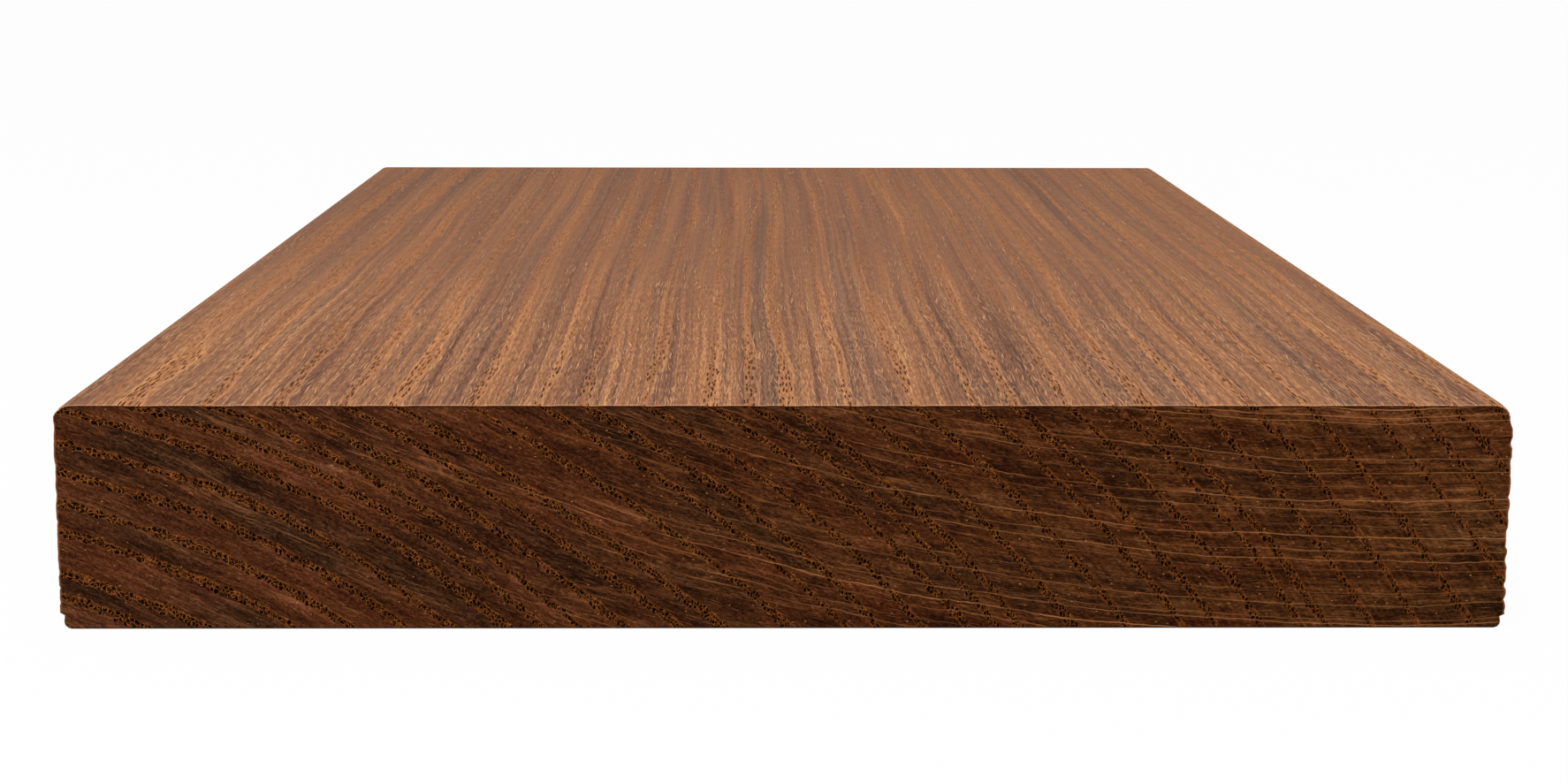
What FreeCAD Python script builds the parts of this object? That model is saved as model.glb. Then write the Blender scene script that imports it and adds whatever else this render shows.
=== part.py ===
import FreeCAD
import Part
import Sketcher
import os

# Decking board: one plain length of solid hardwood, planed on all four sides,
# its long edges eased, and crosscut square at both ends.
#
# Millimetres. The board lies flat with its wear face up (+Z) and its length
# along Y. The origin is the centre of the underside.

NODE = "decking_board"

# alias, size in mm, what it sets
DRIVING_DIMENSIONS = [
    ("board_width", 140.0, "Width of the planed section"),
    ("board_thickness", 22.0, "Thickness of the planed section"),
    ("board_length", 250.0, "Length from saw cut to saw cut"),
    ("wear_edge_radius", 1.6, "Round on the long edges of the wear face"),
    ("under_edge_radius", 1.1, "Round on the long edges of the underside"),
]


def make_dimension_sheet(doc):
    """A spreadsheet with one aliased cell for each driving dimension."""
    sheet = doc.addObject("Spreadsheet::Sheet", "Dimensions")
    for row, (alias, size, meaning) in enumerate(DRIVING_DIMENSIONS, start=1):
        sheet.set(f"A{row}", meaning)
        sheet.set(f"B{row}", str(size))
        sheet.setAlias(f"B{row}", alias)
    doc.recompute()
    return sheet


def base_plane(body, role):
    """One of the body's own origin planes."""
    return next(f for f in body.Origin.OriginFeatures if f.Role == role)


def quarter_round(centre_x, centre_z, radius, first_degree):
    """A quarter circle, anticlockwise from first_degree."""
    start = FreeCAD.Units.Quantity(first_degree, "deg").getValueAs("rad").Value
    quarter = FreeCAD.Units.Quantity(90, "deg").getValueAs("rad").Value
    circle = Part.Circle(FreeCAD.Vector(centre_x, centre_z, 0), FreeCAD.Vector(0, 0, 1), radius)
    return Part.ArcOfCircle(circle, start, start + quarter)


def straight(x0, z0, x1, z1):
    return Part.LineSegment(FreeCAD.Vector(x0, z0, 0), FreeCAD.Vector(x1, z1, 0))


def draw_section(body, sheet):
    """The planed section: a rectangle standing on the X axis, centred on Z, with eased corners.

    The outline runs anticlockwise from the underside, so each piece's end meets
    the next piece's start, where the flat runs into the round without a kink.
    """
    sketch = body.newObject("Sketcher::SketchObject", "PlanedSection")
    sketch.AttachmentSupport = [(base_plane(body, "XZ_Plane"), "")]
    sketch.MapMode = "FlatFace"

    half = sheet.board_width / 2
    top = sheet.board_thickness
    wear = sheet.wear_edge_radius
    under = sheet.under_edge_radius
    underside = sketch.addGeometry(straight(under - half, 0, half - under, 0))
    under_right = sketch.addGeometry(quarter_round(half - under, under, under, 270))
    right_side = sketch.addGeometry(straight(half, under, half, top - wear))
    wear_right = sketch.addGeometry(quarter_round(half - wear, top - wear, wear, 0))
    wear_face = sketch.addGeometry(straight(half - wear, top, wear - half, top))
    wear_left = sketch.addGeometry(quarter_round(wear - half, top - wear, wear, 90))
    left_side = sketch.addGeometry(straight(-half, top - wear, -half, under))
    under_left = sketch.addGeometry(quarter_round(under - half, under, under, 180))

    outline = [underside, under_right, right_side, wear_right]
    outline += [wear_face, wear_left, left_side, under_left]
    start, end = 1, 2
    for piece, following in zip(outline, outline[1:] + outline[:1]):
        sketch.addConstraint(Sketcher.Constraint("Tangent", piece, end, following, start))

    x_axis, z_axis = -1, -2
    sketch.addConstraint([
        Sketcher.Constraint("Horizontal", wear_face),
        Sketcher.Constraint("Vertical", right_side),
        Sketcher.Constraint("Vertical", left_side),
        Sketcher.Constraint("Symmetric", underside, start, underside, end, z_axis),
        Sketcher.Constraint("PointOnObject", underside, start, x_axis),
        Sketcher.Constraint("Equal", wear_right, wear_left),
        Sketcher.Constraint("Equal", under_right, under_left),
    ])

    driven = {
        "board_width": Sketcher.Constraint("DistanceX", left_side, end, right_side, start, 2 * half),
        "board_thickness": Sketcher.Constraint("DistanceY", underside, start, wear_face, start, top),
        "wear_edge_radius": Sketcher.Constraint("Radius", wear_right, wear),
        "under_edge_radius": Sketcher.Constraint("Radius", under_right, under),
    }
    for alias, constraint in driven.items():
        index = sketch.addConstraint(constraint)
        sketch.renameConstraint(index, alias)
        sketch.setExpression(f"Constraints.{alias}", f"{sheet.Name}.{alias}")
    return sketch


def make_board(doc, sheet):
    """The section run out by half the length to each side of the XZ plane."""
    body = doc.addObject("PartDesign::Body", "DeckingBoard")
    body.Label = NODE
    section = draw_section(body, sheet)
    doc.recompute()
    run = body.newObject("PartDesign::Pad", "BoardRun")
    run.Profile = section
    run.SideType = "Symmetric"
    run.setExpression("Length", f"{sheet.Name}.board_length")
    section.Visibility = False
    body.Tip = run
    return body, section


def check(doc, body, section):
    """Stops the build if anything in the document failed to compute."""
    for item in doc.Objects:
        if {"Invalid", "Error"} & set(item.State):
            raise RuntimeError(f"{item.Name} did not compute: {item.State}")
    if section.solve() != 0 or not section.FullyConstrained:
        raise RuntimeError("the section's outline is not fully constrained")
    if body.Shape.isNull() or not body.Shape.isValid() or len(body.Shape.Solids) != 1:
        raise RuntimeError(f"{body.Label} is not one valid solid")


def main():
    doc = FreeCAD.newDocument("DeckingBoard")
    sheet = make_dimension_sheet(doc)
    board, section = make_board(doc, sheet)
    doc.recompute()
    check(doc, board, section)
    os.makedirs("parts", exist_ok=True)
    board.Shape.exportStep(os.path.join("parts", f"{board.Label}.step"))
    box = board.Shape.BoundBox
    print(f"{board.Label}: {box.XLength:.2f} x {box.YLength:.2f} x {box.ZLength:.2f} mm,"
          f" {board.Shape.Volume / 1000:.1f} cm3")


main()
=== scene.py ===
import math
from types import SimpleNamespace

import bpy
import numpy as np
from mathutils import Euler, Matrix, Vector, noise


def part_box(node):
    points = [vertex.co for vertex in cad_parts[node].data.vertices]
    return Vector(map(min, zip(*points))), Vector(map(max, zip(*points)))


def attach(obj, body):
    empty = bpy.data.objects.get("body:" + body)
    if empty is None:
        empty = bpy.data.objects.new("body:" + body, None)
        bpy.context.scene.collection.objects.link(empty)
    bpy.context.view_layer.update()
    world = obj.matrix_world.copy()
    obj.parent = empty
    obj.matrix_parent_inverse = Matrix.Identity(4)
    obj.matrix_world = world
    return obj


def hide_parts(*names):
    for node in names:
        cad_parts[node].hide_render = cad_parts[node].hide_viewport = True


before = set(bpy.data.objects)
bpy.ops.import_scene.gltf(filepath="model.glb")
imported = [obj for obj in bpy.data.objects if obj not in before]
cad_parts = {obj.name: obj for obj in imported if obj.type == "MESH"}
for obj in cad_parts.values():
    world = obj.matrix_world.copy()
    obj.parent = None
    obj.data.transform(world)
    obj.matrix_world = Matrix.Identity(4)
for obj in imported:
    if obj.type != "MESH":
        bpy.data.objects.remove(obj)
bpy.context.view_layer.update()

# Sizes are in millimetres up to the point where a mesh is made.
MM = 0.001
NODE = "decking_board"

# The box of the solid that the board made here stands for.
LOW, HIGH = [np.array(corner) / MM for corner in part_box(NODE)]
NEAR_END = float(LOW[1])
FAR_END = float(HIGH[1])
TOP = float(HIGH[2])

# The section's edges, as the solid has them.
WEAR_EDGE_RADIUS = 1.6
UNDER_EDGE_RADIUS = 1.1

# How finely the ends are divided, and how much closer together the divisions are near the underside.
# The counts are for one end.
CELLS_ACROSS = 348
CELLS_UP = 68
CLOSER_BELOW = 0.45
END_POINTS = (CELLS_UP + 1) * (CELLS_ACROSS + 1)
END_FACES = CELLS_UP * CELLS_ACROSS

# The rows along the board. Each is wider than the one before it, up to the widest.
FIRST_ROW = 0.45
ROW_GROWTH = 1.33
WIDEST_ROW = 6.4

# The bevel between the ends and the long faces.
ARRIS = 0.10

# Where the lower corners of the near end are torn: the height of the tear, how deep it is, how short the
# step at its upper end is and how far in from the edge it reaches.
LEFT_TEAR = 1.33
RIGHT_TEAR = 1.12
LEFT_TEAR_DEPTH = 0.50
RIGHT_TEAR_DEPTH = 0.58
TEAR_STEP = 0.22
TEAR_REACH = 2.2

# How deep the nicks in the near end's upright edges are, and how far back they run.
LEFT_NICKS = 0.13
RIGHT_NICKS = 0.26
NICK_LENGTH = 3.4

# How deep the notches of the open wood in the near end's upper edge are, and how far they reach.
NOTCH_DEPTH = 0.05
NOTCH_REACH = 1.1

# How far the open wood is worn below the saw cuts, and how rough the cuts are.
WORN_DEPTH = 0.11
ROUGH_DEPTH = 0.03

# The pith of the tree lies off the board, below its lower left edge.
PITH_X = -116.9
PITH_Z = -126.2
FIRST_RING = 128.8
# How wide each ring is from there outwards, as measured on the near end.
RING_WIDTHS = [
    3.2, 3.1, 2.75, 2.05, 3.9, 2.8, 3.0, 2.8, 3.3, 2.3, 2.2, 2.4, 2.8, 2.45, 4.2, 3.8, 2.2, 3.3, 3.2,
    2.25, 1.8, 3.9, 4.0, 4.15, 2.3, 3.7, 3.25, 1.65, 3.8, 3.8, 4.1, 4.8, 3.25, 3.15, 3.15, 3.2, 3.2,
]
# The rings are not quite round: how far they bend inwards at mid height, and in waves across the board.
BEND_UP = 0.45
BEND_TWICE = 0.30
BEND_THRICE = 0.32
BEND_SKEW = 0.14
# The rings are as measured at the near end, and wander freely from this far behind it.
SETTLED_BEHIND = 70.0

# The ray lines of the ends run in arcs round this point, about this far from it.
RAY_X = 60.0
RAY_Z = 256.0
RAY_RADIUS = 250.0

# How far the two sawn ends are apart in the pattern, for each mm of the board's length.
END_STEP = 0.37

# How far apart the marks of the grain are, and half the size of each: across the grain and along it.
PORE_PITCH = (0.37, 0.56)
FIBRE_PITCH = (0.36, 2.0)
FIBRE_SIZE = (0.05, 0.8)
SPECK_PITCH = (1.1, 0.9)
SPECK_SIZE = (0.13, 0.07)
RAY_PITCH = 0.95
FACE_PORE_PITCH = (0.34, 3.4)
FACE_PORE_SIZE = (0.10, 1.45)
STROKE_PITCH = (0.34, 7.2)
STROKE_SIZE = (0.085, 3.7)

# Where each side goes in the texture square, in 1024ths: left, bottom, right, top.
ATLAS_SIZE = 1024
ATLAS = {
    "near": (8, 8, 1016, 166),
    "far": (8, 174, 1016, 332),
    "under": (8, 768, 1016, 968),
    "right": (516, 976, 1016, 1016),
    "wear": (8, 340, 1016, 760),
    "left": (8, 976, 508, 1016),
}

# The tones of the wood from dark to light: the place of each, from 0 to 1, and its colour in sRGB.
END_TONES = [
    (0.0, (18, 7, 2)),
    (0.28, (43, 18, 5)),
    (0.55, (78, 41, 16)),
    (0.80, (113, 67, 36)),
    (1.0, (150, 103, 69)),
]
FACE_TONES = [
    (0.0, (92, 58, 42)),
    (0.35, (136, 89, 61)),
    (0.65, (169, 115, 77)),
    (1.0, (218, 166, 118)),
]

# The colours of what lies over the wood, in sRGB.
END_COLOURS = {
    "fibre": (154, 100, 64),
    "hair": (152, 92, 50),
    "speck": (186, 126, 82),
    "band": (54, 23, 7),
    "warm_band": (104, 54, 22),
    "left_wall": (170, 98, 46),
    "right_wall": (158, 89, 37),
    "pore": (6, 2, 0),
    "strand": (178, 106, 46),
    "ray": (172, 114, 70),
    "margin": (32, 14, 5),
    # The upright rim is a painted highlight along the end's side edges.
    "upright_rim_highlight": (156, 90, 44),
    # The level rim is painted shade along the end's upper and lower edges.
    "level_rim_shade": (40, 18, 7),
}
FACE_COLOURS = {
    "stroke_shadow": (90, 52, 33),
    "curl": (214, 155, 106),
    "band_border": (222, 160, 110),
    "stroke": (226, 163, 114),
    "pore_rim": (208, 134, 78),
    "pore": (56, 27, 12),
    # The upper edge is a painted highlight and the under edge is painted shade.
    "upper_edge_highlight": (220, 168, 132),
    "side_edge": (128, 70, 32),
    "under_edge_shade": (42, 20, 9),
}

# The gloss of each surface, how strong the relief of the grain is in its shading and how deep, in mm.
SAWN_GLOSS = 0.02
PLANED_GLOSS = 0.16
RELIEF_STRENGTH = 0.7
RELIEF_DEPTH = 0.16

# How far the floor reaches each way, in metres, and how much of it is plain white to the camera.
FLOOR_REACH = 12.0
FLOOR_GLOW = 0.97
# The world's strength as light. The camera sees it as white.
SKY_LIGHT = 0.5
# The place, aim and width of each lamp, in metres, and its power in watts.
LAMPS = {
    "top_light": ((-0.08, -0.36, 0.62), (0, -0.06, 0), 0.5, 2.6),
    "front_light": ((0.4, -1.5, 0.45), (0, 0, 0), 0.9, 4.0),
}

# The camera, with its place in metres and its angles in degrees: how far it looks down, turns to the
# right and leans.
CAMERA_PLACE = (-0.00371, -0.39935, 0.06966)
CAMERA_LENS = 66.83
CAMERA_DOWN = 9.602
CAMERA_RIGHT = 0.745
CAMERA_LEAN = 0.131


# Mesh


def shares_up():
    """Shares of the height where the section is divided: closer together near the underside."""
    even = np.linspace(0, 1, CELLS_UP + 1)
    return even * (1 + CLOSER_BELOW * even) / (1 + CLOSER_BELOW)


def edge_points(start, end, start_radius, end_radius, shares):
    """Points and outward normals along one side of the section, from mid corner to mid corner."""
    start = np.array(start)
    end = np.array(end)
    along = (end - start) / np.linalg.norm(end - start)
    inward = np.array([-along[1], along[0]])
    quarter = math.pi / 4
    flat = np.linalg.norm(end - start) - start_radius - end_radius
    first = start_radius * quarter
    last = end_radius * quarter
    points = []
    normals = []
    for distance in (first + flat + last) * shares:
        if distance < first:
            turn = quarter - distance / start_radius
            normal = -math.sin(turn) * along - math.cos(turn) * inward
            centre = start + start_radius * (along + inward)
            point = centre + start_radius * normal
        elif distance > first + flat:
            turn = (distance - first - flat) / end_radius
            normal = math.sin(turn) * along - math.cos(turn) * inward
            centre = end + end_radius * (inward - along)
            point = centre + end_radius * normal
        else:
            normal = -inward
            point = start + along * (start_radius + distance - first)
        points.append(point)
        normals.append(normal)
    return np.array(points), np.array(normals)


def section_sides(low, high):
    """The four sides of the section, anticlockwise from the underside."""
    left, bottom = low
    right, top = high
    under = UNDER_EDGE_RADIUS
    wear = WEAR_EDGE_RADIUS
    across = np.linspace(0, 1, CELLS_ACROSS + 1)
    up = shares_up()
    down = 1 - up[::-1]
    return [
        edge_points((left, bottom), (right, bottom), under, under, across),
        edge_points((right, bottom), (right, top), under, wear, up),
        edge_points((right, top), (left, top), wear, wear, across),
        edge_points((left, top), (left, bottom), wear, under, down),
    ]


def filled_grid(under, right, wear, left):
    """A grid of points across the section, fitted to its four sides."""
    wear = wear[::-1]
    left = left[::-1]
    across = np.linspace(0, 1, CELLS_ACROSS + 1)[None, :, None]
    up = shares_up()[:, None, None]
    rows = (1 - up) * under[None] + up * wear[None]
    columns = (1 - across) * left[:, None] + across * right[:, None]
    corners = (
        (1 - across) * (1 - up) * under[0]
        + across * (1 - up) * under[-1]
        + (1 - across) * up * wear[0]
        + across * up * wear[-1]
    )
    return rows + columns - corners


def end_index(first):
    """Indices of the points of one end, in rows going up. first is the first of them."""
    return first + np.arange(END_POINTS).reshape(CELLS_UP + 1, CELLS_ACROSS + 1)


def end_rim(first):
    """Indices of the rim of one end, in the order of the section's sides."""
    index = end_index(first)
    return np.concatenate([index[0, :-1], index[:-1, -1], index[-1, :0:-1], index[:0:-1, 0]])


def row_places(low, high):
    """Where the rows stand along the board: close together near the saw cuts."""
    steps = [FIRST_ROW]
    while steps[-1] * ROW_GROWTH < WIDEST_ROW:
        steps.append(steps[-1] * ROW_GROWTH)
    graded = np.concatenate([[0], np.cumsum(steps)])
    middle = high - low - 2 * graded[-1]
    even = np.linspace(graded[-1], graded[-1] + middle, math.ceil(middle / WIDEST_ROW) + 1)
    return low + np.concatenate([graded[:-1], even, (high - low - graded)[::-1][1:]])


def placed(section, y):
    """The points of a section, stood at one place along the board."""
    return np.column_stack([section[:, 0], np.full(len(section), y), section[:, 1]])


def end_faces(first, flip):
    """The faces of one end. first is its first point, and flip turns the faces round."""
    index = end_index(first)
    faces = np.stack([index[:-1, :-1], index[:-1, 1:], index[1:, 1:], index[1:, :-1]], -1)
    faces = faces.reshape(-1, 4)
    return faces[:, ::-1] if flip else faces


def loop_faces(near, far):
    """Faces between two closed loops, the near one first."""
    return np.stack([near, far, np.roll(far, -1), np.roll(near, -1)], -1)


def board_faces(loop_count, row_count):
    """The faces of the ends and of the run between them, and the closed loops of the run."""
    loops = [end_rim(0)]
    for number in range(row_count):
        loops.append(2 * END_POINTS + number * loop_count + np.arange(loop_count))
    loops.append(end_rim(END_POINTS))
    faces = [end_faces(0, False), end_faces(END_POINTS, True)]
    for first, second in zip(loops[:-1], loops[1:]):
        faces.append(loop_faces(first, second))
    return np.concatenate(faces), loops


def wobble(points, size, seed):
    """Smooth noise from about -1 to 1, one value for each point. size is in mm along each axis."""
    scaled = points / np.array(size) + np.array([seed * 7.3, seed * 3.1, seed * 5.7])
    return np.array([noise.noise(Vector(point)) for point in scaled])


def ring_bend(points, low, high):
    """How much further out the rings lie than circles about the pith."""
    across = 2 * math.pi * (points[:, 0] - low[0]) / (high[0] - low[0]) - math.pi
    up = 2 * (points[:, 2] - low[2]) / (high[2] - low[2]) - 1
    waves = BEND_TWICE * np.sin(2 * across) + BEND_THRICE * np.cos(3 * across)
    return BEND_UP * up * up + BEND_SKEW * np.cos(2 * across) * up - waves


def ring_values(points, low, high):
    """Of each point: radius from the pith, distance round it, ring number with its fraction, ring width."""
    x = points[:, 0] - PITH_X
    z = points[:, 2] - PITH_Z
    behind = np.clip((points[:, 1] - low[1]) / SETTLED_BEHIND, 0, 1)
    free = behind * behind * (3 - 2 * behind)
    radius = np.hypot(x, z) + ring_bend(points, low, high)
    radius = radius + free * 1.1 * wobble(points, (34, 150, 34), 1)
    radius = radius + (0.16 + 0.12 * free) * wobble(points, (7, 50, 7), 2)
    angle = np.arctan2(x, z)
    starts = FIRST_RING + np.concatenate([[0], np.cumsum(RING_WIDTHS)])
    middles = (starts[:-1] + starts[1:]) / 2
    return {
        "ring_radius": radius,
        "ring_arc": angle * (84 + 115 * angle),
        "ring_count": np.interp(radius, starts, np.arange(len(starts))),
        "ring_width": np.interp(radius, middles, RING_WIDTHS),
    }


def open_wood_share(count, width):
    """How open the wood is, from 0 to 1: the first millimetre of each ring."""
    since = (count % 1) * width
    return np.clip(since / 0.3, 0, 1) * np.clip((1.3 - since) / 0.4, 0, 1)


def torn(points, low, high, open_wood):
    """The points pushed in where the edges of the near end are torn."""
    moved = points.copy()
    behind = points[:, 1] - low[1]
    height = points[:, 2] - low[2]
    fade = np.clip(1 - behind / NICK_LENGTH, 0, 1)
    # Sharp nicks with shallow curves between them.
    nicks_at = np.clip(1 - np.abs(wobble(points, (1.7, 6.0, 1.7), 9)) / 0.22, 0, 1)
    nicks_at = nicks_at + 0.4 * np.clip(0.2 + wobble(points, (0.7, 5.0, 0.7), 4), 0, 1)
    edges = (
        (1, low[0], LEFT_TEAR, LEFT_TEAR_DEPTH, LEFT_NICKS),
        (-1, high[0], RIGHT_TEAR, RIGHT_TEAR_DEPTH, RIGHT_NICKS),
    )
    for side, edge, place, depth, nicks in edges:
        inside = side * (points[:, 0] - edge)
        reach = np.clip(1 - inside / TEAR_REACH, 0, 1)
        # Deepest at its upper end, where it stops short.
        below = 0.25 + 0.75 * height / place
        above = 1 - (height - place) / TEAR_STEP
        tear = depth * np.clip(np.minimum(below, above), 0, 1)
        nicked = nicks * np.clip(height / place - 1, 0, 1) * (open_wood * 0.3 + nicks_at * 0.9)
        moved[:, 0] += side * reach * fade * (tear + nicked)
    from_top = np.clip(1 - (high[2] - points[:, 2]) / NOTCH_REACH, 0, 1)
    from_end = np.clip(1 - behind / NOTCH_REACH, 0, 1)
    moved[:, 2] -= NOTCH_DEPTH * open_wood * from_top * from_end
    return moved


def worn(points, low, high, grain):
    """The points where the ends are worn, rough and torn. The open wood of each ring wears deepest."""
    open_wood = open_wood_share(grain["ring_count"], grain["ring_width"])
    depth = WORN_DEPTH * open_wood + ROUGH_DEPTH * (1 + wobble(points, (0.9, 2.5, 0.9), 5))
    depth[grain["arris"] > 0] *= 0.4
    moved = torn(points, low, high, open_wood)
    near = slice(0, END_POINTS)
    far = slice(END_POINTS, 2 * END_POINTS)
    moved[near, 1] += depth[near]
    moved[far, 1] -= depth[far]
    return moved


def atlas_corners(side, across, up):
    """Texture coordinates in one side's rectangle, from shares of it."""
    left, bottom, right, top = ATLAS[side]
    across = (left + (right - left) * across) / ATLAS_SIZE
    up = (bottom + (top - bottom) * up) / ATLAS_SIZE
    return np.stack([across, up], -1)


def end_texture(side, flip):
    """Texture coordinates of the corners of an end's faces."""
    up, across = np.divmod(end_faces(0, flip), CELLS_ACROSS + 1)
    across = across / CELLS_ACROSS
    if flip:
        across = 1 - across
    return atlas_corners(side, across, up / CELLS_UP)


def run_texture(shares):
    """Texture coordinates of the corners of the long sides' faces. shares is how far along each row is."""
    counts = (("under", CELLS_ACROSS), ("right", CELLS_UP), ("wear", CELLS_ACROSS), ("left", CELLS_UP))
    strips = []
    for start, end in zip(shares[:-1], shares[1:]):
        for side, count in counts:
            first = np.arange(count) / count
            second = first + 1 / count
            up = np.stack([first, first, second, second], -1)
            across = np.tile([start, end, end, start], (count, 1))
            strips.append(atlas_corners(side, across, up))
    return np.concatenate(strips)


def around_section(loop):
    """How far round the section each point of its loop is."""
    lengths = np.linalg.norm(np.diff(np.concatenate([loop, loop[:1]]), axis=0), axis=1)
    return np.concatenate([[0], np.cumsum(lengths)[:-1]])


def make_board(low, high):
    """The board as one closed mesh: its points, faces, texture coordinates and the grain of each point."""
    sides = section_sides((low[0], low[2]), (high[0], high[2]))
    end = filled_grid(*[points - ARRIS * normals for points, normals in sides]).reshape(-1, 2)
    loop = np.concatenate([points[:-1] for points, normals in sides])
    loop_normals = np.concatenate([normals[:-1] for points, normals in sides])
    rows = row_places(low[1] + ARRIS, high[1] - ARRIS)
    run = np.concatenate([placed(loop, y) for y in rows])
    points = np.concatenate([placed(end, low[1]), placed(end, high[1]), run])
    faces, loops = board_faces(len(loop), len(rows))

    loop_girth = around_section(loop)
    girth = np.zeros(len(points))
    arris = np.zeros(len(points))
    normals = np.zeros((len(points), 2))
    for points_here in loops:
        girth[points_here] = loop_girth
        normals[points_here] = loop_normals
    for points_here in loops[:2] + loops[-2:]:
        arris[points_here] = 1

    grain = ring_values(points, low, high)
    # How fast the rings are crossed on the way round the section.
    crossed = (points[:, 2] - PITH_Z) * normals[:, 0] - (points[:, 0] - PITH_X) * normals[:, 1]
    grain["ring_slope"] = crossed / grain["ring_radius"]
    grain["girth"] = girth
    grain["arris"] = arris

    shares = (np.concatenate([[low[1]], rows, [high[1]]]) - low[1]) / (high[1] - low[1])
    texture = np.concatenate([end_texture("near", False), end_texture("far", True), run_texture(shares)])
    return worn(points, low, high, grain), faces, texture, grain


def build_board():
    """The board as an object, with the grain of each point stored on it for the materials."""
    points, faces, texture, grain = make_board(LOW, HIGH)
    mesh = bpy.data.meshes.new("board_surface")
    mesh.from_pydata((points * MM).tolist(), [], faces.tolist())
    for name, values in grain.items():
        attribute = mesh.attributes.new(name, "FLOAT", "POINT")
        attribute.data.foreach_set("value", values.astype(np.float32))
    atlas = mesh.uv_layers.new(name="OFBake")
    atlas.data.foreach_set("uv", texture.astype(np.float32).ravel())
    on_run = np.arange(len(faces)) >= 2 * END_FACES
    mesh.polygons.foreach_set("use_smooth", np.ones(len(faces), bool))
    mesh.polygons.foreach_set("material_index", on_run.astype(np.int32))
    mesh.update()
    board = bpy.data.objects.new("board_surface", mesh)
    bpy.context.scene.collection.objects.link(board)
    return board


# Node arithmetic


def srgb(red, green, blue):
    """A colour given as 0 to 255 in sRGB, as the nodes take it."""
    colour = []
    for value in (red / 255, green / 255, blue / 255):
        colour.append(value / 12.92 if value <= 0.04045 else ((value + 0.055) / 1.055) ** 2.4)
    return (*colour, 1.0)


class Value:
    """An output inside a node tree, which can be added, taken away, multiplied and divided."""

    def __init__(self, graph, socket):
        self.graph = graph
        self.socket = socket

    def __add__(self, other):
        return self.graph.math("ADD", self, other)

    def __radd__(self, other):
        return self.graph.math("ADD", other, self)

    def __sub__(self, other):
        return self.graph.math("SUBTRACT", self, other)

    def __rsub__(self, other):
        return self.graph.math("SUBTRACT", other, self)

    def __mul__(self, other):
        return self.graph.math("MULTIPLY", self, other)

    def __rmul__(self, other):
        return self.graph.math("MULTIPLY", other, self)

    def __truediv__(self, other):
        return self.graph.math("DIVIDE", self, other)


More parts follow.
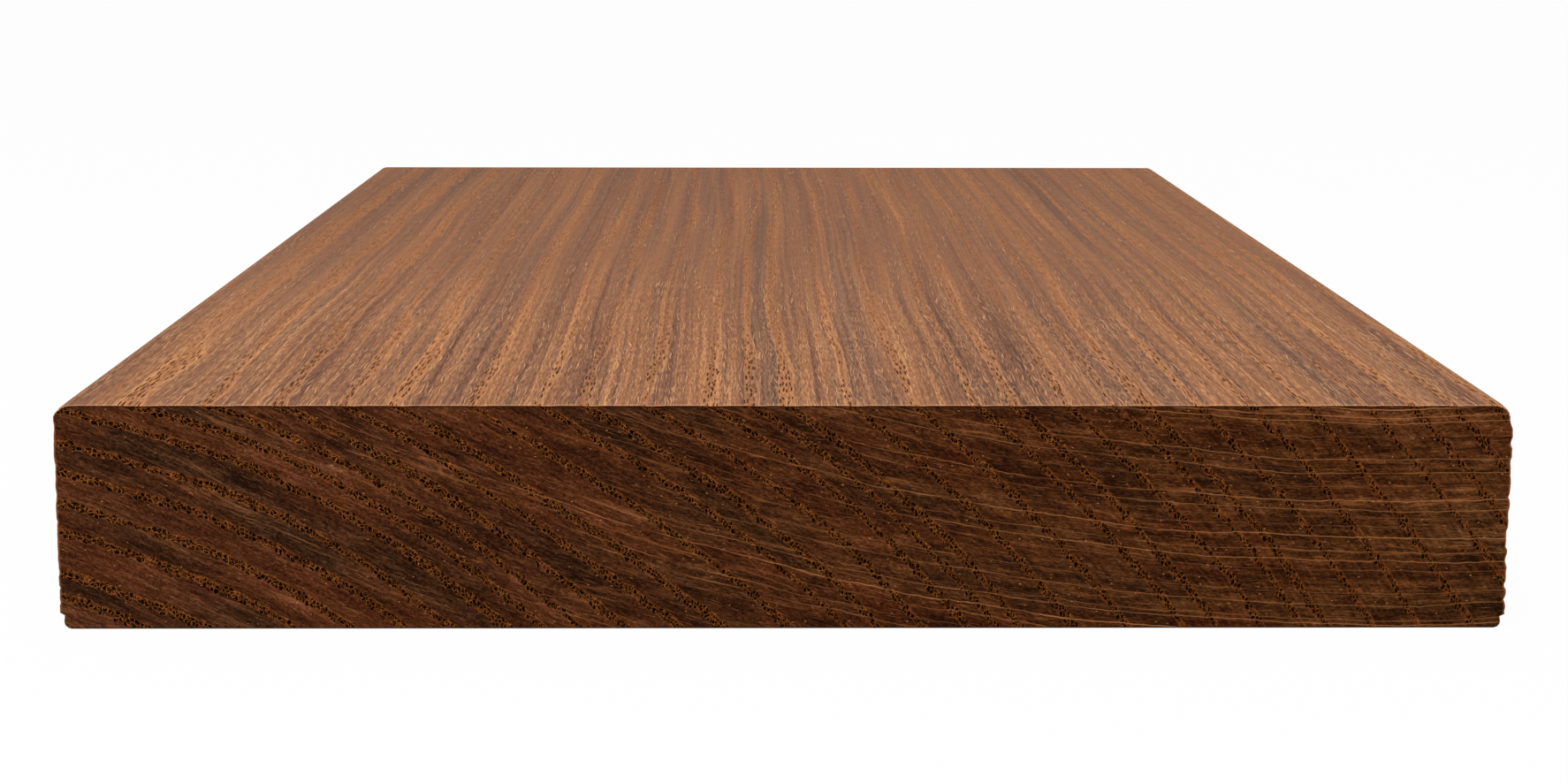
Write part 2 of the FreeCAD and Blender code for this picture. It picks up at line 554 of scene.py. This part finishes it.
class Graph:
    """A node tree, with a short name for each kind of node that the materials need."""

    def __init__(self, tree):
        self.tree = tree

    def node(self, kind, **settings):
        made = self.tree.nodes.new(kind)
        for name, value in settings.items():
            setattr(made, name, value)
        return made

    def feed(self, socket, value):
        if isinstance(value, Value):
            self.tree.links.new(value.socket, socket)
        else:
            socket.default_value = value

    def math(self, operation, *values):
        made = self.node("ShaderNodeMath", operation=operation)
        for socket, value in zip(made.inputs, values):
            self.feed(socket, value)
        return Value(self, made.outputs[0])

    def above(self, value, limit):
        return self.math("GREATER_THAN", value, limit)

    def below(self, value, limit):
        return self.math("LESS_THAN", value, limit)

    def size(self, value):
        """The value without its sign."""
        return self.math("ABSOLUTE", value)

    def distance(self, x, y):
        return self.math("SQRT", x * x + y * y)

    def smooth(self, value, start, end, low, high):
        made = self.node("ShaderNodeMapRange", interpolation_type="SMOOTHSTEP")
        for socket, given in zip(made.inputs, (value, start, end, low, high)):
            self.feed(socket, given)
        return Value(self, made.outputs[0])

    def rise(self, value, start, end):
        """0 up to the start and 1 from the end on, with a smooth step between them."""
        return self.smooth(value, start, end, 0.0, 1.0)

    def fall(self, value, start, end):
        """1 up to the start and 0 from the end on, with a smooth step between them."""
        return self.smooth(value, start, end, 1.0, 0.0)

    def attribute(self, name):
        made = self.node("ShaderNodeAttribute", attribute_name=name)
        return Value(self, made.outputs["Fac"])

    def parts(self, vector):
        split = self.node("ShaderNodeSeparateXYZ")
        self.feed(split.inputs[0], vector)
        return [Value(self, output) for output in split.outputs]

    def position(self):
        """Where the point is on the board, in mm."""
        made = self.node("ShaderNodeTexCoord")
        return [part / MM for part in self.parts(Value(self, made.outputs["Object"]))]

    def vector(self, x, y, z=0.0):
        made = self.node("ShaderNodeCombineXYZ")
        for socket, value in zip(made.inputs, (x, y, z)):
            self.feed(socket, value)
        return Value(self, made.outputs[0])

    def noise_node(self, place, detail, roughness):
        """A noise over the two or three coordinates of a place."""
        made = self.node("ShaderNodeTexNoise", noise_dimensions=f"{len(place)}D")
        self.feed(made.inputs["Vector"], self.vector(*place))
        made.inputs["Scale"].default_value = 1.0
        made.inputs["Detail"].default_value = detail
        made.inputs["Roughness"].default_value = roughness
        return made

    def noise(self, place, detail=1.0, roughness=0.5):
        """Noise around 0, about -1 to 1."""
        made = self.noise_node(place, detail, roughness)
        return (Value(self, made.outputs[0]) - 0.5) * 2

    def drift(self, place, detail=0.0):
        """Three separate noises around 0."""
        made = self.noise_node(place, detail, 0.5)
        return [(part - 0.5) * 2 for part in self.parts(Value(self, made.outputs["Color"]))]

    def ridge(self, value, width):
        """A thin line along the places where a noise is zero."""
        return self.fall(self.size(value), 0.0, width)

    def random(self, value):
        made = self.node("ShaderNodeTexWhiteNoise", noise_dimensions="1D")
        self.feed(made.inputs["W"], value)
        return Value(self, made.outputs["Value"])

    def voronoi(self, feature, across, along, pitch):
        """Cells that are as far apart as the pitch says, in mm each way."""
        made = self.node("ShaderNodeTexVoronoi", feature=feature, voronoi_dimensions="2D")
        self.feed(made.inputs["Vector"], self.vector(across / pitch[0], along / pitch[1]))
        made.inputs["Scale"].default_value = 1.0
        return made

    def cells(self, across, along, pitch):
        """Of the cell here: the distances to its edge and its middle, in pitches, two random numbers
        and its middle across, in mm."""
        edge = Value(self, self.voronoi("DISTANCE_TO_EDGE", across, along, pitch).outputs["Distance"])
        cell = self.voronoi("F1", across, along, pitch)
        chance, second = self.parts(Value(self, cell.outputs["Color"]))[:2]
        centre = self.parts(Value(self, cell.outputs["Position"]))[0] * pitch[0]
        return edge, Value(self, cell.outputs["Distance"]), chance, second, centre

    def marks(self, across, along, pitch, size, lean=0.0):
        """Scattered marks, each leaning its own way: the distance from a mark's middle, 1 at its rim,
        two random numbers for it and its middle across, in mm."""
        cell = self.voronoi("F1", across, along, pitch)
        middle = self.parts(Value(self, cell.outputs["Position"]))
        centre = middle[0] * pitch[0]
        chance, second, third = self.parts(Value(self, cell.outputs["Color"]))
        ahead = along - middle[1] * pitch[1]
        aside = across - centre - ahead * (third - 0.5) * lean
        return self.distance(aside / size[0], ahead / size[1]), chance, second, centre

    def threads(self, across, pitch):
        """Lines across the way: the distance to the nearest, in mm, and two random numbers for it."""
        made = self.node("ShaderNodeTexVoronoi", feature="F1", voronoi_dimensions="1D")
        made.inputs["Scale"].default_value = 1.0
        self.feed(made.inputs["W"], across / pitch)
        chance, second = self.parts(Value(self, made.outputs["Color"]))[:2]
        return Value(self, made.outputs["Distance"]) * pitch, chance, second

    def mix(self, share, first, second, blend="MIX"):
        made = self.node("ShaderNodeMix", data_type="RGBA", blend_type=blend)
        self.feed(made.inputs[0], share)
        self.feed(made.inputs[6], first)
        self.feed(made.inputs[7], second)
        return Value(self, made.outputs[2])

    def paint(self, share, under, colour):
        """A colour, given as 0 to 255 in sRGB, laid over what is under it."""
        return self.mix(share, under, srgb(*colour))

    def tint(self, share, colour, red, green, blue):
        """The colour, with its three parts scaled where the share is 1."""
        scaled = self.mix(1.0, colour, (red, green, blue, 1.0), "MULTIPLY")
        return self.mix(share, colour, scaled)

    def ramp(self, value, stops):
        made = self.node("ShaderNodeValToRGB")
        band = made.color_ramp
        while len(band.elements) < len(stops):
            band.elements.new(0.5)
        for element, (place, colour) in zip(band.elements, stops):
            element.position = place
            element.color = srgb(*colour)
        self.feed(made.inputs[0], value)
        return Value(self, made.outputs[0])


# Rings, on the ends and on the faces


def since_ring(graph, grain, shift):
    """How far the point is from the start of its ring, in mm, once it is shifted outwards."""
    return graph.math("FRACT", grain["count"] + shift / grain["width"]) * grain["width"]


def band_border(graph, here, thickness, width):
    """The two borders of a band of open wood."""
    inner = graph.size(here)
    outer = graph.size(here - thickness)
    return graph.fall(graph.math("MINIMUM", inner, outer), 0.03, width)


# Sawn ends


def end_place(graph, grain):
    """Where a point of a sawn end is, also across and along the rays, with the noises that bend the
    pattern."""
    x, y, z = grain["place"]
    cut = y * END_STEP
    bend, bend_along, waviness = graph.drift((x * 0.9, cut, z * 0.9))
    curl, curl_along, fleck = graph.drift((x * 3.2, cut, z * 3.2), 1.0)
    across = graph.distance(x - RAY_X, z - RAY_Z)
    across = across + bend * 0.08 + curl * 0.02 + graph.noise((x / 12.0, cut, z / 7.0)) * 0.6
    along = graph.math("ARCTAN2", x - RAY_X, RAY_Z - z) * RAY_RADIUS
    return SimpleNamespace(
        x=x,
        z=z,
        cut=cut,
        bend=bend,
        bend_along=bend_along,
        curl=curl,
        curl_along=curl_along,
        light=graph.rise(fleck + waviness * 0.5 - x * 0.002, -0.5, 0.7),
        across=across,
        along=along,
        sheen=graph.noise((across / 2.6, along / 26.0, cut), 2.0),
        streak=graph.noise((across / 0.45, along / 5.0, cut), 2.0, 0.6),
        to_right=graph.rise(x, -20.0, 60.0),
    )


def end_bands(graph, grain, place):
    """The bands of open wood on a sawn end, with their pores, cell walls and strands."""
    x = place.x
    shift = place.bend * 0.14 + place.curl * (0.10 - x * 0.0007)
    radius = grain["radius"] + shift
    arc = grain["arc"] + place.cut + place.bend_along * 0.2 + place.curl_along * 0.20 + radius * 0.5
    edge, out, chance, second, centre = graph.cells(radius, arc, PORE_PITCH)

    # A cell is in the band if its own middle is.
    ring = graph.math("FLOOR", grain["count"])
    patch = graph.noise((grain["arc"] * 0.10, ring * 3.7, place.cut))
    thickness = 0.62 + patch * 0.38 - x * 0.0002
    in_band = graph.below(since_ring(graph, grain, centre - grain["radius"]), thickness)
    here = since_ring(graph, grain, shift)
    near = graph.rise(here, -0.02, 0.12) * graph.fall(here, thickness, thickness + 0.25)
    strand = graph.ridge(graph.noise((x * 2.4, place.cut + 5.0, place.z * 2.4)), 0.11) * near

    closed = graph.random(ring + 0.5) * 0.10 - patch * 0.14 - x * 0.0005
    wall_width = 0.025 + second * second * second * 0.11
    reach = 0.45 + second * 0.26 - x * 0.0010
    pore = in_band * graph.above(chance, closed) * (1 - strand * 0.4)
    pore = pore * graph.rise(edge, wall_width, wall_width + 0.11) * graph.fall(out, reach, reach + 0.18)
    return SimpleNamespace(
        ring=ring,
        here=here,
        near=near,
        strand=strand,
        pore=pore,
        wall=in_band * graph.fall(edge, 0.02, 0.13),
        border=band_border(graph, here, thickness, 0.11),
    )


def end_wood(graph, grain, place, bands):
    """The colour of the dense wood of a sawn end: red, olive or ashen on the left, golden on the right."""
    x = place.x
    cut = place.cut
    across = place.across
    along = place.along
    fine = graph.noise((across / 0.14, along / 0.45, cut), 1.0, 0.6)
    grit = graph.noise((x * 5.0, cut, place.z * 5.0), 2.0, 0.8)
    smudge = graph.noise((across / 0.75, along / 3.2 + bands.ring * 5.3, cut + 4.0), 2.0, 0.6)
    ring_streak = graph.noise((grain["radius"] / 0.3, grain["arc"] / 4.0, cut))
    ring_tone = graph.noise((bands.ring * 3.7 + 1.3, grain["arc"] * 0.05, cut))
    beside_band = graph.rise(bands.here, 0.5, 1.4) * graph.fall(bands.here, 1.4, 2.6)

    tone = 0.449 + x * x * 0.000007 - x * 0.0003
    tone = tone + place.sheen * 0.25 + place.streak * (0.16 + place.to_right * 0.14)
    tone = tone + fine * 0.34 + grit * (0.34 - place.to_right * 0.13)
    tone = tone + ring_streak * 0.20 + smudge * (0.24 + x * 0.0014)
    tone = tone + ring_tone * (0.16 - x * 0.0013) - beside_band * (0.03 - place.to_right * 0.06)
    colour = graph.ramp(tone, END_TONES)

    hue = graph.noise((across / 4.0, along / 30.0, cut + 9.0), 2.0)
    redness = graph.rise(hue * 0.5 + ring_tone * (0.5 - x * 0.006) - x * 0.0025, -0.5, 0.5)
    olive = graph.tint(1.0, colour, 0.82, 1.03, 1.42)
    red = graph.tint(1.0, colour, 1.12, 0.94, 1.04)
    colour = graph.mix(redness, olive, red)
    colour = graph.tint(place.to_right * 0.7, colour, 1.10, 1.04, 0.72)
    return graph.tint(graph.fall(x, -50.0, 0.0), colour, 0.99, 1.10, 1.32)


def end_lines(graph, place, bands):
    """The light lines and dots of a sawn end: rays, hairs, short fibres and specks."""
    x = place.x
    far_off, chance, light = graph.threads(place.across, RAY_PITCH)
    lit = graph.noise((place.along / 4.5 + bands.ring * 1.7, chance * 37.0, place.cut))
    shown = place.streak * 0.5 + place.sheen + lit * 0.9 + x * 0.008 + place.to_right * 0.2
    ray = graph.fall(far_off, 0.015, 0.075) * graph.above(chance, 0.1)
    ray = ray * graph.rise(shown, -0.6, 0.8) * (0.10 + light * light * 0.9)

    hair = graph.ridge(graph.noise((place.across / 0.6, place.along / 8.0, place.cut + 2.0), 0.0), 0.10)
    hair = hair * graph.rise(place.streak + place.sheen, -0.1, 0.5)

    out, chance, light = graph.marks(place.across, place.along, FIBRE_PITCH, FIBRE_SIZE)[:3]
    fibre = graph.fall(out, 0.4, 1.0) * graph.above(chance, 0.5) * (0.1 + light * 0.8)

    level = place.z + place.curl * 0.1
    out, chance, light = graph.marks(x + place.z * 0.3, level, SPECK_PITCH, SPECK_SIZE)[:3]
    speck = graph.fall(out, 0.4, 1.0) * graph.above(chance, 0.74) * light * 0.8
    return SimpleNamespace(ray=ray, hair=hair, fibre=fibre, speck=speck)


def end_rims(graph, grain, place, lines, colour):
    """The colour of a sawn end with its darker upper margin, a painted highlight along its upright rims
    and painted shade along its upper and lower rims.
    """
    from_top = TOP - place.z + place.curl * 0.15 + lines.hair * 0.1
    colour = graph.paint(graph.fall(from_top, 0.12, 0.55) * 0.55, colour, END_COLOURS["margin"])
    upright = graph.rise(place.z, 0.7, 1.6) * graph.fall(place.z, TOP - 1.8, TOP - 0.8)
    at_rim = graph.rise(grain["arris"], 0.45, 0.95)
    # Painted highlight along the upright rims of the end.
    colour = graph.paint(at_rim * upright * (0.25 + place.light * 0.45), colour, END_COLOURS["upright_rim_highlight"])
    # Painted shade along the upper and lower rims of the end.
    return graph.paint(at_rim * (1 - upright) * 0.6, colour, END_COLOURS["level_rim_shade"])


def end_grain(graph, grain):
    """Colour, height and roughness of the sawn ends."""
    place = end_place(graph, grain)
    bands = end_bands(graph, grain, place)
    lines = end_lines(graph, place, bands)
    colour = end_wood(graph, grain, place, bands)
    colour = graph.paint(lines.fibre * (0.44 - place.to_right * 0.08), colour, END_COLOURS["fibre"])
    colour = graph.paint(lines.hair * 0.4, colour, END_COLOURS["hair"])
    colour = graph.paint(lines.speck, colour, END_COLOURS["speck"])

    colour = graph.paint(bands.near * (0.70 + place.light * 0.2), colour, END_COLOURS["band"])
    warm = bands.near * graph.rise(place.x, 5.0, 70.0) * 0.4
    colour = graph.paint(warm, colour, END_COLOURS["warm_band"])
    wall_share = (bands.wall + bands.border * 0.5) * (0.14 + place.light * (0.70 + place.to_right * 0.12))
    left_wall = srgb(*END_COLOURS["left_wall"])
    wall_colour = graph.paint(place.to_right, left_wall, END_COLOURS["right_wall"])
    colour = graph.mix(wall_share, colour, wall_colour)
    colour = graph.paint(bands.pore * 0.97, colour, END_COLOURS["pore"])
    colour = graph.paint(bands.strand * place.light * 0.6, colour, END_COLOURS["strand"])

    colour = graph.paint(lines.ray, colour, END_COLOURS["ray"])
    colour = end_rims(graph, grain, place, lines, colour)
    height = (bands.wall + bands.strand) * 0.4 - bands.pore + lines.fibre * 0.2
    return colour, height, 0.7 + bands.pore * 0.25


# Planed faces


def face_place(graph, grain):
    """Where a point of a planed face is, with the noises that bend the pattern. The detail lies near the
    near end and gets calmer away from it."""
    x, y, z = grain["place"]
    girth = grain["girth"]
    # The slow bends stop short of the ends, so that the streaks meet the rings there.
    between = graph.rise(y, NEAR_END + 5.0, NEAR_END + 75.0) * graph.fall(y, FAR_END - 55.0, FAR_END - 3.0)
    bow = graph.noise((girth / 30.0, y / 110.0)) * between * 1.1
    sway = graph.noise((girth / 5.0, y / 55.0)) * 0.4 + bow
    shake, shake_more, mottle = graph.drift((girth / 0.8, y / 4.6))
    return SimpleNamespace(
        x=x,
        y=y,
        z=z,
        sway=sway,
        shake=shake,
        shake_more=shake_more,
        mottle=mottle,
        across=girth + sway + shake * 0.10,
        away=graph.rise(y, NEAR_END + 10.0, NEAR_END + 135.0),
    )


def face_bands(graph, grain, place):
    """The bands of open wood on the planed faces, with their pores and the pores' rims."""
    y = place.y
    ring = graph.math("FLOOR", grain["count"])
    patch = graph.noise((y * 0.045, ring * 3.7))
    thickness = 0.62 + patch * 0.5
    here = since_ring(graph, grain, (place.sway + place.shake * 0.03) * grain["slope"])
    strength = graph.noise((y * 0.01, ring * 9.1 + 3.0))

    # A pore is in the band if its own middle is.
    out, chance, second, centre = graph.marks(place.across, y, FACE_PORE_PITCH, FACE_PORE_SIZE, 0.03)
    in_band = graph.below(since_ring(graph, grain, (centre - grain["girth"]) * grain["slope"]), thickness)
    behind = graph.rise(y, NEAR_END + 11.0, NEAR_END + 70.0)
    open_pore = in_band * graph.above(chance, 0.16 - patch * 0.25 + behind * 0.4)
    out = out / (0.45 + second * 0.7)
    return SimpleNamespace(
        ring=ring,
        near=graph.rise(here, -0.02, 0.1) * graph.fall(here, thickness, thickness + 0.2),
        border=band_border(graph, here, thickness, 0.12),
        strength=graph.rise(strength, -0.5, 0.4),
        behind=behind,
        pore=open_pore * graph.fall(out, 0.5, 1.25),
        rim=open_pore * graph.fall(out, 1.0, 2.2),
    )


def face_wood(graph, place, bands, cool):
    """The colour of the dense wood of the planed faces: long streaks, some of them golden and some grey."""
    x = place.x
    y = place.y
    away = place.away
    broad = graph.noise((place.across / 3.4, y / 300.0), 2.0, 0.6)
    streak = graph.noise((place.across / 0.9, y / 140.0), 2.0, 0.6)
    thin = graph.noise((place.across / 0.36 + 17.0, y / 110.0))
    fine = graph.noise((place.across / 0.17, y / 2.4), 1.0, 0.6)
    streaks = broad * 0.30 + streak * 0.36 * (1 - away * 0.45) + thin * 0.30 * (1 - away * 0.3)

    tone = 0.42 + x * (0.0002 + x * 0.00001) + away * (0.17 - away * 0.14) + place.mottle * 0.06
    tone = tone + streaks * (1.14 - away * 0.46) + fine * (0.42 - away * 0.26)
    colour = graph.ramp(tone, FACE_TONES)
    ring_cool = graph.random(bands.ring + 0.7) - 0.5
    greyness = graph.rise(cool + ring_cool * 0.8 - bands.near * 0.6, -0.05, 0.6)
    goldness = graph.rise(broad + bands.near * 0.5 + streak * 0.7, -0.1, 0.5)
    grey_or_not = graph.tint(greyness, colour, 0.87, 0.95, 1.07)
    golden = graph.tint(1.0, colour, 1.06, 0.98, 0.85)
    return graph.mix(goldness, grey_or_not, golden)


def face_strokes(graph, place, cool):
    """The light fibres that the planer has raised: strokes with a shadow beside them, and thin curls."""
    across = place.across
    away = place.away
    crowd = graph.noise((across / 2.2, place.y / 26.0)) + 0.3 - away * 0.25
    crowded = graph.rise(crowd, -0.15, 0.35) * (1 - away * 0.35)
    shaken = across + place.shake_more * 0.2
    out, chance, second = graph.marks(shaken, place.y, STROKE_PITCH, STROKE_SIZE, 0.05)[:3]
    out = out / (0.5 + second * 0.6)
    shown = graph.above(chance, 0.2) * crowded * (0.3 + second * 0.7)
    curls = graph.ridge(graph.noise((across / 0.40, place.y / 5.5), 0.0), 0.15)
    return SimpleNamespace(
        stroke=graph.fall(out, 0.45, 0.95) * shown,
        beside=graph.rise(out, 0.9, 1.2) * graph.fall(out, 1.2, 1.9) * shown,
        curls=curls * graph.rise(crowd + cool, 0.1, 0.6) * (1 - away),
    )


def face_rims(graph, grain, place, bands, colour):
    """The colour of the planed faces with their edges at the saw cuts: a painted highlight along the upper
    edge, brown at the sides and painted shade along the lower edge."""
    z = place.z
    sharp = graph.rise(grain["arris"], 0.93, 1.0)
    # Painted highlight along the upper edge at the saw cuts, broken where the bands cross.
    upper = sharp * graph.rise(z, TOP - 1.0, TOP - 0.5) * (1 - bands.near * 0.8)
    colour = graph.paint(upper * 0.3, colour, FACE_COLOURS["upper_edge_highlight"])
    side = sharp * graph.fall(z, TOP - 1.6, TOP - 0.8)
    colour = graph.paint(side * 0.8, colour, FACE_COLOURS["side_edge"])
    # Painted shade along the lower edge at the saw cuts.
    under = graph.rise(grain["arris"], 0.2, 0.9) * graph.fall(z, 0.3, 0.9)
    return graph.paint(under * 0.85, colour, FACE_COLOURS["under_edge_shade"])


def long_grain(graph, grain):
    """Colour, height and roughness of the planed faces."""
    place = face_place(graph, grain)
    away = place.away
    cool = graph.noise((place.across / 3.0 + 31.0, place.y / 240.0))
    bands = face_bands(graph, grain, place)
    strokes = face_strokes(graph, place, cool)
    colour = face_wood(graph, place, bands, cool)
    colour = graph.paint(strokes.beside * 0.6, colour, FACE_COLOURS["stroke_shadow"])
    colour = graph.paint(strokes.curls * 0.5, colour, FACE_COLOURS["curl"])
    colour = graph.tint(bands.near * bands.strength * (1 - away * 0.5), colour, 1.36, 1.34, 1.18)
    colour = graph.paint(bands.border * (0.3 - away * 0.3), colour, FACE_COLOURS["band_border"])
    colour = graph.paint(strokes.stroke * 0.85, colour, FACE_COLOURS["stroke"])
    colour = graph.paint(bands.rim * (0.55 - away * 0.25), colour, FACE_COLOURS["pore_rim"])
    colour = graph.paint(bands.pore * (0.95 - bands.behind * 0.55), colour, FACE_COLOURS["pore"])
    colour = face_rims(graph, grain, place, bands, colour)
    height = bands.rim * 0.3 - bands.pore + strokes.stroke * 0.4 + strokes.curls * 0.2
    return colour, height, 0.7 + bands.pore * 0.25


def wood_material(name, pattern, gloss):
    """A material of this name with one of the two patterns of grain."""
    material = bpy.data.materials.new(name)
    material.use_nodes = True
    tree = material.node_tree
    tree.nodes.clear()
    graph = Graph(tree)
    grain = {
        "place": graph.position(),
        "radius": graph.attribute("ring_radius"),
        "arc": graph.attribute("ring_arc"),
        "count": graph.attribute("ring_count"),
        "width": graph.attribute("ring_width"),
        "slope": graph.attribute("ring_slope"),
        "girth": graph.attribute("girth"),
        "arris": graph.attribute("arris"),
    }
    colour, height, rough = pattern(graph, grain)
    shader = graph.node("ShaderNodeBsdfPrincipled")
    bump = graph.node("ShaderNodeBump")
    bump.inputs["Strength"].default_value = RELIEF_STRENGTH
    bump.inputs["Distance"].default_value = RELIEF_DEPTH * MM
    output = graph.node("ShaderNodeOutputMaterial")
    graph.feed(bump.inputs["Height"], height)
    graph.feed(shader.inputs["Base Color"], colour)
    graph.feed(shader.inputs["Roughness"], rough)
    shader.inputs["Specular IOR Level"].default_value = gloss
    tree.links.new(bump.outputs["Normal"], shader.inputs["Normal"])
    tree.links.new(shader.outputs[0], output.inputs["Surface"])
    return material


# Studio


def floor_material():
    """White to the camera, with a little of the object's shadow left in it."""
    material = bpy.data.materials.new("white_floor")
    material.use_nodes = True
    tree = material.node_tree
    tree.nodes.clear()
    graph = Graph(tree)
    paper = graph.node("ShaderNodeBsdfDiffuse")
    paper.inputs["Color"].default_value = (0.8, 0.8, 0.8, 1.0)
    glow = graph.node("ShaderNodeEmission")
    glow.inputs["Color"].default_value = (1.0, 1.0, 1.0, 1.0)
    glow.inputs["Strength"].default_value = 1.0
    path = graph.node("ShaderNodeLightPath")
    seen = Value(graph, path.outputs["Is Camera Ray"])
    for kind in ("Is Glossy Ray", "Is Transmission Ray"):
        seen = graph.math("MAXIMUM", seen, Value(graph, path.outputs[kind]))
    blend = graph.node("ShaderNodeMixShader")
    output = graph.node("ShaderNodeOutputMaterial")
    graph.feed(blend.inputs[0], seen * FLOOR_GLOW)
    tree.links.new(paper.outputs[0], blend.inputs[1])
    tree.links.new(glow.outputs[0], blend.inputs[2])
    tree.links.new(blend.outputs[0], output.inputs["Surface"])
    return material


def make_floor():
    """A wide floor under the board, for the studio alone."""
    reach = FLOOR_REACH
    corners = [(-reach, -reach, 0), (reach, -reach, 0), (reach, reach, 0), (-reach, reach, 0)]
    mesh = bpy.data.meshes.new("floor")
    mesh.from_pydata(corners, [], [(0, 1, 2, 3)])
    floor = bpy.data.objects.new("floor", mesh)
    bpy.context.scene.collection.objects.link(floor)
    mesh.materials.append(floor_material())


def make_lamp(name, place, target, size, power):
    """A round soft lamp, aimed at its target."""
    lamp = bpy.data.lights.new(name, "AREA")
    lamp.shape = "DISK"
    lamp.size = size
    lamp.energy = power
    holder = bpy.data.objects.new(name, lamp)
    holder.location = place
    holder.rotation_euler = (Vector(target) - Vector(place)).to_track_quat("-Z", "Y").to_euler()
    bpy.context.scene.collection.objects.link(holder)


def make_world():
    """A plain sky, white to the camera."""
    world = bpy.data.worlds.new("studio")
    world.use_nodes = True
    bpy.context.scene.world = world
    tree = world.node_tree
    tree.nodes.clear()
    graph = Graph(tree)
    path = graph.node("ShaderNodeLightPath")
    sky = graph.node("ShaderNodeBackground")
    sky.inputs["Color"].default_value = (1.0, 1.0, 1.0, 1.0)
    output = graph.node("ShaderNodeOutputWorld")
    seen = Value(graph, path.outputs["Is Camera Ray"])
    graph.feed(sky.inputs["Strength"], SKY_LIGHT + seen * (1 - SKY_LIGHT))
    tree.links.new(sky.outputs[0], output.inputs["Surface"])


def make_camera():
    """The camera, at the photograph's viewing angle."""
    camera = bpy.data.cameras.new("camera")
    camera.sensor_width = 36.0
    camera.lens = CAMERA_LENS
    camera.clip_start = 0.01
    camera.clip_end = 100.0
    holder = bpy.data.objects.new("camera", camera)
    holder.location = CAMERA_PLACE
    turn = Euler((math.radians(90 - CAMERA_DOWN), 0, -math.radians(CAMERA_RIGHT)), "XYZ").to_matrix()
    lean = Euler((0, 0, math.radians(CAMERA_LEAN)), "XYZ").to_matrix()
    holder.rotation_euler = (turn @ lean).to_euler()
    bpy.context.scene.collection.objects.link(holder)
    bpy.context.scene.camera = holder


def make_studio():
    """The floor, the sky and the lamps."""
    bpy.context.scene.view_settings.view_transform = "Standard"
    make_floor()
    make_world()
    for name, (place, target, size, power) in LAMPS.items():
        make_lamp(name, place, target, size, power)


make_studio()
make_camera()
board = build_board()
board.data.materials.append(wood_material("sawn_end", end_grain, SAWN_GLOSS))
board.data.materials.append(wood_material("planed_face", long_grain, PLANED_GLOSS))
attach(board, "root")
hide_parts(NODE)

print("triangles:", 2 * len(board.data.polygons))
